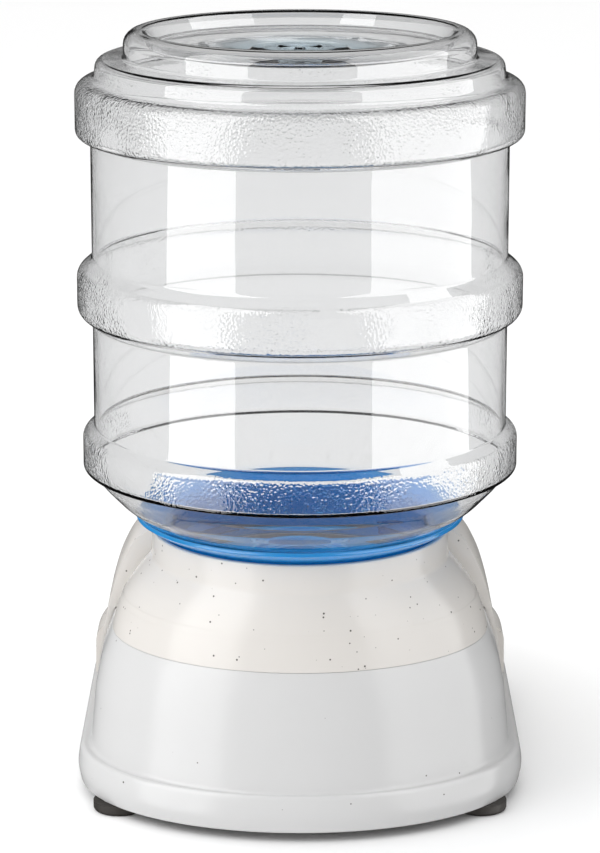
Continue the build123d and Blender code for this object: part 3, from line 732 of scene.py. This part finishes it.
def finish(slot):
    """Return the material of a slot of the record, made once."""
    name = slot + "_finish"
    if name in bpy.data.materials:
        return bpy.data.materials[name]
    shells = bpy.context.scene.dispenser_shells
    valve = bpy.context.scene.dispenser_valve
    bottle = bpy.context.scene.dispenser_bottle
    makers = {
        "clear_bottle": lambda: clear_plastic(name, bottle.tint, bottle.pebble, bottle.pebble_height),
        "cream_shell": lambda: speckled_plastic(name, shells.cream, CREAM_SPECKS, shells.gloss),
        "grey_shell": lambda: speckled_plastic(name, shells.grey, GREY_SPECKS, shells.gloss),
        "blue_plastic": lambda: tinted_plastic(name, valve.blue),
        "foot_rubber": lambda: rubber(name, FOOT_BLACK),
        "seal_rubber": lambda: rubber(name, SEAL_BLACK),
        "screw_steel": lambda: steel(name, ZINC, 0.25),
        "spring_steel": lambda: steel(name, WIRE, 0.2),
        "valve_white": lambda: valve_plastic(name, ACETAL),
    }
    return makers[slot]()


def dress(node_name, material):
    """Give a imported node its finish."""
    piece = frame["nodes"][node_name]
    piece.data.materials.clear()
    piece.data.materials.append(material)


# Settings ---------------------------------------------------------------------------------------------


class DispenserBottle(PropertyGroup):
    """The clear bottle."""

    tint: FloatVectorProperty(
        name="Tint",
        description="Colour of the clear plastic",
        default=(0.87, 0.873, 0.876),
        size=3,
        subtype="COLOR",
    )
    pebble: FloatProperty(
        name="Pebble", description="Size of the pebbles on the rings", default=0.0011, unit="LENGTH"
    )
    pebble_height: FloatProperty(
        name="Pebble height",
        description="Height of the pebbles on the rings",
        default=0.00026,
        unit="LENGTH",
    )
    segments: IntProperty(name="Segments", description="Faces round the bottle", default=192)


class DispenserShells(PropertyGroup):
    """The moulded base."""

    cream: FloatVectorProperty(
        name="Cream",
        description="Collar, hood and basin",
        default=(0.665, 0.64, 0.61),
        size=3,
        subtype="COLOR",
    )
    grey: FloatVectorProperty(
        name="Grey", description="Lower shell", default=(0.61, 0.61, 0.61), size=3, subtype="COLOR"
    )
    gloss: FloatProperty(name="Roughness", description="Roughness of the shells", default=0.2)


class DispenserValve(PropertyGroup):
    """The cap and the valve in it."""

    blue: FloatVectorProperty(
        name="Blue", description="Cap and tube", default=(0.035, 0.42, 0.88), size=3, subtype="COLOR"
    )


class DispenserStage(PropertyGroup):
    """Floor, light and camera."""

    distance: FloatProperty(
        name="Distance", description="Camera to the bottle's axis", default=1.36, unit="LENGTH"
    )
    pitch: FloatProperty(
        name="Pitch", description="How far the camera looks down", default=math.radians(14), subtype="ANGLE"
    )
    aim_height: FloatProperty(
        name="Aim height", description="Height that the camera looks at", default=0.1508, unit="LENGTH"
    )
    lens: FloatProperty(name="Lens", description="Focal length in millimetres", default=143.5)
    floor_size: FloatProperty(name="Floor", description="Width of the floor", default=8.0, unit="LENGTH")


# Operators --------------------------------------------------------------------------------------------


class DISPENSER_OT_bottle(Operator):
    """Make the clear bottle"""

    bl_idname = "dispenser.bottle"
    bl_label = "Bottle"

    def execute(self, context):
        settings = context.scene.dispenser_bottle
        corners = [(radius, height) for radius, height, _ in BOTTLE_OUTLINE]
        radii = [radius for _, _, radius in BOTTLE_OUTLINE]
        nub = [corner[:2] for corner in END_NUB]
        nub_radii = [corner[2] for corner in END_NUB]
        outer = round_corners(nub + corners[2:], nub_radii + radii[2:])
        inner_corners = offset_path(corners, BOTTLE_WALL)
        inner_corners[0].x = 0.0
        inner_radii = []
        for index, radius in enumerate(radii):
            if index in (0, len(radii) - 1):
                inner_radii.append(0.0)
                continue
            before, corner, after = (Vector(corners[index + step]) for step in (-1, 0, 1))
            turn = (corner - before).cross(after - corner)
            inner_radii.append(radius + BOTTLE_WALL if turn > 0 else max(radius - BOTTLE_WALL, 0.4))
        inner = round_corners(inner_corners, inner_radii)
        mesh = lathe(outer + inner[::-1], settings.segments, closed=False)
        add_lugs(mesh, NECK_LUG)
        piece = make_piece("clear_bottle", mesh, finish("clear_bottle"), sharp_angle=60)
        stand_for(piece, "bottle_body", "clear_bottle", "bottle")
        return {"FINISHED"}


class DISPENSER_OT_cap(Operator):
    """Make the blue valve cap with its grip ribs"""

    bl_idname = "dispenser.cap"
    bl_label = "Valve Cap"

    def execute(self, context):
        blue = finish("blue_plastic")
        corners = [corner[:2] for corner in CAP_OUTLINE]
        outline = round_corners(corners, [corner[2] for corner in CAP_OUTLINE], closed=True)
        mesh = lathe(outline, CAP_FACES_ROUND)
        add_lugs(mesh, CAP_LUG)
        add_round(mesh, (PEG_SPOT_R, BOTTLE_Y), PEG_OUTLINE)
        rib = bmesh.new()
        height = GRIP_RIB_HIGH - GRIP_RIB_LOW
        place = Matrix.Translation((0, 0, height / 2 * MM))
        bmesh.ops.create_cone(
            rib, cap_ends=True, segments=14, radius1=GRIP_RIB_R * MM, radius2=GRIP_RIB_R * MM,
            depth=height * MM, matrix=place,
        )
        rims = [edge for edge in rib.edges if abs(edge.verts[0].co.z - edge.verts[1].co.z) < 1e-6]
        edge = GRIP_RIB_EDGE_R * MM
        bmesh.ops.bevel(rib, geom=rims, offset=edge, segments=2, affect="EDGES", profile=0.5)
        radius = CAP_OUTLINE[1][0]
        turns = [2 * math.pi * index / GRIP_RIBS for index in range(GRIP_RIBS)]
        spots = [(radius * math.cos(t), BOTTLE_Y + radius * math.sin(t), GRIP_RIB_LOW) for t in turns]
        ribs = set_copies("grip_ribs", make_piece("rib", rib, blue), spots, (0, BOTTLE_Y, 0), blue)
        mesh.from_mesh(ribs.data)
        bpy.data.objects.remove(ribs)
        piece = make_piece("blue_cap", mesh, blue, sharp_angle=40)
        stand_for(piece, "cap_body", "blue_plastic", "valve_cap")
        return {"FINISHED"}


class DISPENSER_OT_lower_shell(Operator):
    """Make the grey lower shell"""

    bl_idname = "dispenser.lower_shell"
    bl_label = "Lower Shell"

    def execute(self, context):
        corners = [corner[:3] for corner in SHELL_OUTLINE]
        outline = round_corners(corners, [corner[3] for corner in SHELL_OUTLINE], closed=True)
        piece = make_piece("grey_shell", skin(outline, base_plan), None)
        rear = HOOD_SIDE[1][0] - GAP
        foot = HOOD_SIDE[2][0] - GAP
        cut = [(rear, CUT_TOP), (rear, SEAM_Z), (foot, LEDGE_Z), (CUT_REACH, LEDGE_Z), (CUT_REACH, CUT_TOP)]
        cut = [(BOTTLE_Y + y, z) for y, z in cut]
        carve(piece, prism("front_cut", cut, "X", -CUT_HALF_WIDTH, CUT_HALF_WIDTH))
        mesh = bmesh.new()
        mesh.from_mesh(piece.data)
        for name in FEET:
            low, high = (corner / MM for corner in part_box(name))
            under, top = FOOT_BOSS_Z
            boss = [(0, under, 0), (FOOT_BOSS_R, under, 0.4), (FOOT_BOSS_R, top, 0.4), (0, top, 0)]
            add_round(mesh, ((low.x + high.x) / 2, (low.y + high.y) / 2), boss)
        for x, y in BASIN_SCREWS:
            add_block(mesh, (x * TAB_SHIFT, BOTTLE_Y + y, TAB_Z), (*TAB_SIZE, WALL))
        mesh.to_mesh(piece.data)
        mesh.free()
        refinish(piece, finish("grey_shell"))
        stand_for(piece, "base", "grey_shell", "lower_shell")
        return {"FINISHED"}


class DISPENSER_OT_collar(Operator):
    """Make the cream dome and the collar that carries the bottle"""

    bl_idname = "dispenser.collar"
    bl_label = "Bottle Collar"

    def execute(self, context):
        corners = [corner[:3] for corner in COLLAR_OUTLINE]
        outline = round_corners(corners, [corner[3] for corner in COLLAR_OUTLINE], closed=True)
        mesh = skin(outline, circle_plan(FACES_ROUND))
        low, high = HOOD_TAB_Z
        for x, y, length, width in HOOD_TABS:
            for side in (-x, x):
                add_block(mesh, (side, BOTTLE_Y + y, (low + high) / 2), (length, width, high - low))
        piece = make_piece("cream_collar", mesh, finish("cream_shell"))
        stand_for(piece, "housing", "cream_shell", "bottle_collar")
        return {"FINISHED"}


class DISPENSER_OT_hood(Operator):
    """Make the arched front hood"""

    bl_idname = "dispenser.hood"
    bl_label = "Front Hood"

    def execute(self, context):
        piece = self.arch_block("cream_hood", 0.0, HOOD_EDGE_R)
        carve(piece, self.side_prism("side", HOOD_SIDE), "INTERSECT")
        inside = self.arch_block("inside", WALL, HOOD_EDGE_R - WALL)
        carve(inside, self.side_prism("inside_side", HOOD_INSIDE), "INTERSECT")
        carve(piece, inside)
        dome = [(w + GAP, d + GAP, z, r) for w, d, z, r in COLLAR_OUTLINE[2:9]]
        solid = [(0.0, 0.0, LEDGE_Z), (dome[0][0], dome[0][1], LEDGE_Z)]
        solid += [corner[:3] for corner in dome] + [(0.0, 0.0, dome[-1][2])]
        carve(piece, make_piece("dome", skin(solid, circle_plan(FACES_ROUND), closed=False), None))
        soften(piece, HOOD_RIM_R, segments=2, angle=50)
        mesh = bmesh.new()
        mesh.from_mesh(piece.data)
        for x, y, low, high in HOOD_BOSSES:
            for side in (-x, x):
                boss = [(0, low, 0), (BOSS_R, low, 0.4), (BOSS_R, high, 0.4), (0, high, 0)]
                add_round(mesh, (side, BOTTLE_Y + y), boss)
        mesh.to_mesh(piece.data)
        mesh.free()
        refinish(piece, finish("cream_shell"), 40)
        stand_for(piece, "housing", "cream_shell", "front_hood")
        return {"FINISHED"}

    def arch_block(self, name, inset, edge):
        """A block with the hood's arch and sloping face, drawn in by inset, with a rounded edge."""
        right = [(x - inset, z - (inset if z > SEAM_Z else 0)) for x, z in HOOD_ARCH]
        right[-1] = (0.0, right[-1][1])
        right = smooth_path(right)
        half, foot = right[0][0], HOOD_BLOCK_FOOT
        arch = [(half, foot), *right, *[(-x, z) for x, z in right[-2::-1]], (-half, foot)]
        block = prism(name, arch, "Y", BOTTLE_Y - HOOD_BLOCK_REAR, HOOD_BLOCK_FRONT)
        (top_y, top_z), (foot_y, foot_z) = HOOD_FACE
        slope = (foot_y - top_y) / (foot_z - top_z)
        shift = HOOD_FACE_SHIFT if inset else 0.0
        low, high = FACE_BLOCK_Z
        face = [(top_y + slope * (z - top_z) - shift, z) for z in (high, low)]
        face = [(FACE_BLOCK_REAR, low), (FACE_BLOCK_REAR, high), *face]
        carve(block, self.side_prism("face", face), "INTERSECT")
        soften(block, edge)
        return block

    def side_prism(self, name, outline):
        """A prism across the whole width, from a side outline measured from the bottle's axis."""
        outline = [(BOTTLE_Y + y, z) for y, z in outline]
        return prism(name, outline, "X", -HOOD_HALF_BLOCK, HOOD_HALF_BLOCK)


class DISPENSER_OT_screws(Operator):
    """Set the threaded screws in the base, the basin and the hood"""

    bl_idname = "dispenser.screws"
    bl_label = "Screws"

    def execute(self, context):
        material = finish("screw_steel")
        for node, body in (("foot_screws", "base"), ("basin_screws", "base"), ("hood_screws", "housing")):
            low, high = (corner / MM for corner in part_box(node))
            if node == "foot_screws":
                boxes = [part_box(name) for name in FEET]
                spots = [((a + b) / 2 / MM).to_2d() for a, b in boxes]
            elif node == "basin_screws":
                spots = [Vector((x, BOTTLE_Y + y)) for x, y in BASIN_SCREWS]
            else:
                spots = [Vector((side * x, BOTTLE_Y + y)) for x, y, _, _ in HOOD_BOSSES for side in (-1, 1)]
            spots = [(spot.x, spot.y, low.z) for spot in spots]
            template = self.screw(high.z - low.z, material)
            piece = set_copies("steel_" + node, template, spots, (0, BOTTLE_Y, 0), material)
            refinish(piece, material)
            stand_for(piece, body, "screw_steel", node)
        return {"FINISHED"}

    def screw(self, length, material):
        """A pan-head screw standing on its head at the origin, with a cross recess and a thread."""
        head = [(0, 0, 0), (SCREW_HEAD_R, 0, 0.7), (SCREW_HEAD_R, SCREW_HEAD, 0.2), (0, SCREW_HEAD, 0)]
        mesh = bmesh.new()
        add_round(mesh, (0, 0), head)
        piece = make_piece("screw", mesh, material)
        long, narrow, deep = SCREW_SLOT
        for size in ((long, narrow, 2 * deep), (narrow, long, 2 * deep)):
            slot = bmesh.new()
            add_block(slot, (0, 0, 0), size, 0.1)
            carve(piece, make_piece("slot", slot, None))
        mesh = bmesh.new()
        mesh.from_mesh(piece.data)
        absorb(mesh, self.shank(length))
        mesh.to_mesh(piece.data)
        mesh.free()
        return piece

    def shank(self, length, sides=18, steps=6):
        """A shank with a helical thread and a blunt tip."""
        mesh = bmesh.new()
        rings = []
        count = round((length - SCREW_HEAD) / SCREW_PITCH * steps)
        for step in range(count + 1):
            height = SCREW_HEAD - SCREW_SUNK + (length - SCREW_HEAD + SCREW_SUNK) * step / count
            taper = min(1.0, (length - height) / SCREW_TIP * (1 - SCREW_TIP_SHARE) + SCREW_TIP_SHARE)
            ring = []
            for side in range(sides):
                phase = (height / SCREW_PITCH - side / sides) % 1
                crest = max(0.0, 1 - abs(phase - 0.5) * 4)
                radius = (SCREW_ROOT_R + (SCREW_R - SCREW_ROOT_R) * crest) * taper
                turn = 2 * math.pi * side / sides
                spot = Vector((radius * math.cos(turn), radius * math.sin(turn), height))
                ring.append(mesh.verts.new(spot * MM))
            rings.append(ring)
        for lower, upper in zip(rings, rings[1:]):
            for side in range(sides):
                after = (side + 1) % sides
                mesh.faces.new((lower[side], lower[after], upper[after], upper[side]))
        mesh.faces.new(rings[0][::-1])
        mesh.faces.new(rings[-1])
        bmesh.ops.recalc_face_normals(mesh, faces=mesh.faces)
        return mesh


class DISPENSER_OT_finishes(Operator):
    """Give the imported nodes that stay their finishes"""

    bl_idname = "dispenser.finishes"
    bl_label = "Finishes"

    def execute(self, context):
        for subpart in frame["record"]["subparts"]:
            material = finish(subpart["material_slot"])
            dress(subpart["node"], material)
        return {"FINISHED"}


class DISPENSER_OT_stage(Operator):
    """Set up the floor, the soft light and the camera"""

    bl_idname = "dispenser.stage"
    bl_label = "Stage"

    def execute(self, context):
        settings = context.scene.dispenser_stage
        self.make_floor(settings)
        self.make_world(context)
        self.make_lamps()
        self.make_camera(context, settings)
        context.scene.view_settings.view_transform = "Standard"
        return {"FINISHED"}

    def make_floor(self, settings):
        """A plain pale floor that stays out of the reflections, so that they show the soft boxes."""
        mesh = bmesh.new()
        bmesh.ops.create_grid(mesh, x_segments=8, y_segments=8, size=settings.floor_size / 2)
        floor = make_piece("floor", mesh, floor_paint("floor_paint", FLOOR_WHITE))
        floor.visible_glossy = False

    def make_world(self, context):
        """White to look at and through, softer as light, and darker in reflections."""
        world = bpy.data.worlds.new("studio")
        world.use_nodes = True
        nodes, links = world.node_tree.nodes, world.node_tree.links
        path = nodes.new("ShaderNodeLightPath")
        across = nodes.new("ShaderNodeSeparateXYZ")
        links.new(nodes.new("ShaderNodeTexCoord").outputs["Generated"], across.inputs[0])
        soft = nodes.new("ShaderNodeMapRange")
        links.new(across.outputs["X"], soft.inputs["Value"])
        for socket, value in {"From Min": -1.0, "From Max": 1.0, "To Min": 1.48, "To Max": 0.56}.items():
            soft.inputs[socket].default_value = value
        rays = {"Is Diffuse Ray": soft.outputs[0], "Is Glossy Ray": 0.03, "Is Transmission Ray": 0.68}
        level = 1.0
        for ray, strength in rays.items():
            mix = nodes.new("ShaderNodeMix")
            links.new(path.outputs[ray], mix.inputs[0])
            for socket, value in ((2, level), (3, strength)):
                if isinstance(value, float):
                    mix.inputs[socket].default_value = value
                else:
                    links.new(value, mix.inputs[socket])
            level = mix.outputs[0]
        background = nodes["Background"]
        links.new(level, background.inputs["Strength"])
        background.inputs["Color"].default_value = (1.0, 1.0, 1.0, 1.0)
        context.scene.world = world

    def make_lamps(self):
        """Soft boxes: two that only light, and two tall ones that only show as reflections."""
        aim = Vector((0, BOTTLE_Y * MM, LAMP_AIM_HEIGHT))
        boxes = [
            # name, azimuth from the camera, distance, height, width, tall, power, in reflections
            ("top_box", -20, 0.6, 2.2, 2.4, 2.4, 6, False),
            ("key_box", -60, 1.6, 1.3, 1.0, 1.0, 7, False),
            ("left_strip", -55, 1.5, 0.6, 1.3, 3.3, 0, True),
            ("right_strip", 72, 1.5, 0.6, 2.3, 3.3, 0, True),
        ]
        radiance = {"left_strip": 5.0, "right_strip": 4.0}
        for name, azimuth, distance, height, width, tall, power, reflected in boxes:
            data = bpy.data.lights.new(name, "AREA")
            data.shape = "RECTANGLE"
            data.size, data.size_y = width, tall
            data.energy = power or radiance[name] * math.pi * width * tall
            lamp = bpy.data.objects.new(name, data)
            turn = math.radians(azimuth - 90)
            across = Vector((distance * math.cos(turn), distance * math.sin(turn), 0))
            lamp.location = Vector((aim.x, aim.y, height)) + across
            lamp.rotation_euler = (aim - lamp.location).to_track_quat("-Z", "Y").to_euler()
            lamp.visible_camera = False
            lamp.visible_transmission = False
            lamp.visible_glossy = reflected
            lamp.visible_diffuse = not reflected
            bpy.context.scene.collection.objects.link(lamp)

    def make_camera(self, context, settings):
        """A long lens behind the bottle, looking a little down."""
        data = bpy.data.cameras.new("camera")
        data.lens = settings.lens
        data.sensor_fit = "VERTICAL"
        data.sensor_height = 36.0
        camera = bpy.data.objects.new("camera", data)
        aim = Vector((0, BOTTLE_Y * MM, settings.aim_height))
        back = Vector((0, -math.cos(settings.pitch), math.sin(settings.pitch)))
        camera.location = aim + back * settings.distance
        camera.rotation_euler = back.to_track_quat("Z", "Y").to_euler()
        context.scene.collection.objects.link(camera)
        context.scene.camera = camera


class DISPENSER_PT_panel(Panel):
    """Lists the makers and their settings"""

    bl_idname = "DISPENSER_PT_panel"
    bl_label = "Water Dispenser"
    bl_space_type = "VIEW_3D"
    bl_region_type = "UI"
    bl_category = "Dispenser"

    def draw(self, context):
        for maker in MAKERS:
            self.layout.operator(maker.bl_idname)
        for name, group in SETTINGS.items():
            box = self.layout.box()
            for key in group.__annotations__:
                box.prop(getattr(context.scene, name), key)


SETTINGS = {
    "dispenser_bottle": DispenserBottle,
    "dispenser_shells": DispenserShells,
    "dispenser_valve": DispenserValve,
    "dispenser_stage": DispenserStage,
}
MAKERS = (
    DISPENSER_OT_finishes,
    DISPENSER_OT_lower_shell,
    DISPENSER_OT_collar,
    DISPENSER_OT_hood,
    DISPENSER_OT_bottle,
    DISPENSER_OT_cap,
    DISPENSER_OT_screws,
    DISPENSER_OT_stage,
)


def register():
    for group in SETTINGS.values():
        bpy.utils.register_class(group)
    for name, group in SETTINGS.items():
        setattr(bpy.types.Scene, name, PointerProperty(type=group))
    for maker in (*MAKERS, DISPENSER_PT_panel):
        bpy.utils.register_class(maker)


def unregister():
    for maker in (DISPENSER_PT_panel, *reversed(MAKERS)):
        bpy.utils.unregister_class(maker)
    for name in SETTINGS:
        delattr(bpy.types.Scene, name)
    for group in SETTINGS.values():
        bpy.utils.unregister_class(group)


def main():
    """Build every piece in order."""
    register()
    bpy.ops.dispenser.finishes()
    bpy.ops.dispenser.lower_shell()
    bpy.ops.dispenser.collar()
    bpy.ops.dispenser.hood()
    bpy.ops.dispenser.bottle()
    bpy.ops.dispenser.cap()
    bpy.ops.dispenser.screws()
    bpy.ops.dispenser.stage()


if __name__ == "__main__":
    main()
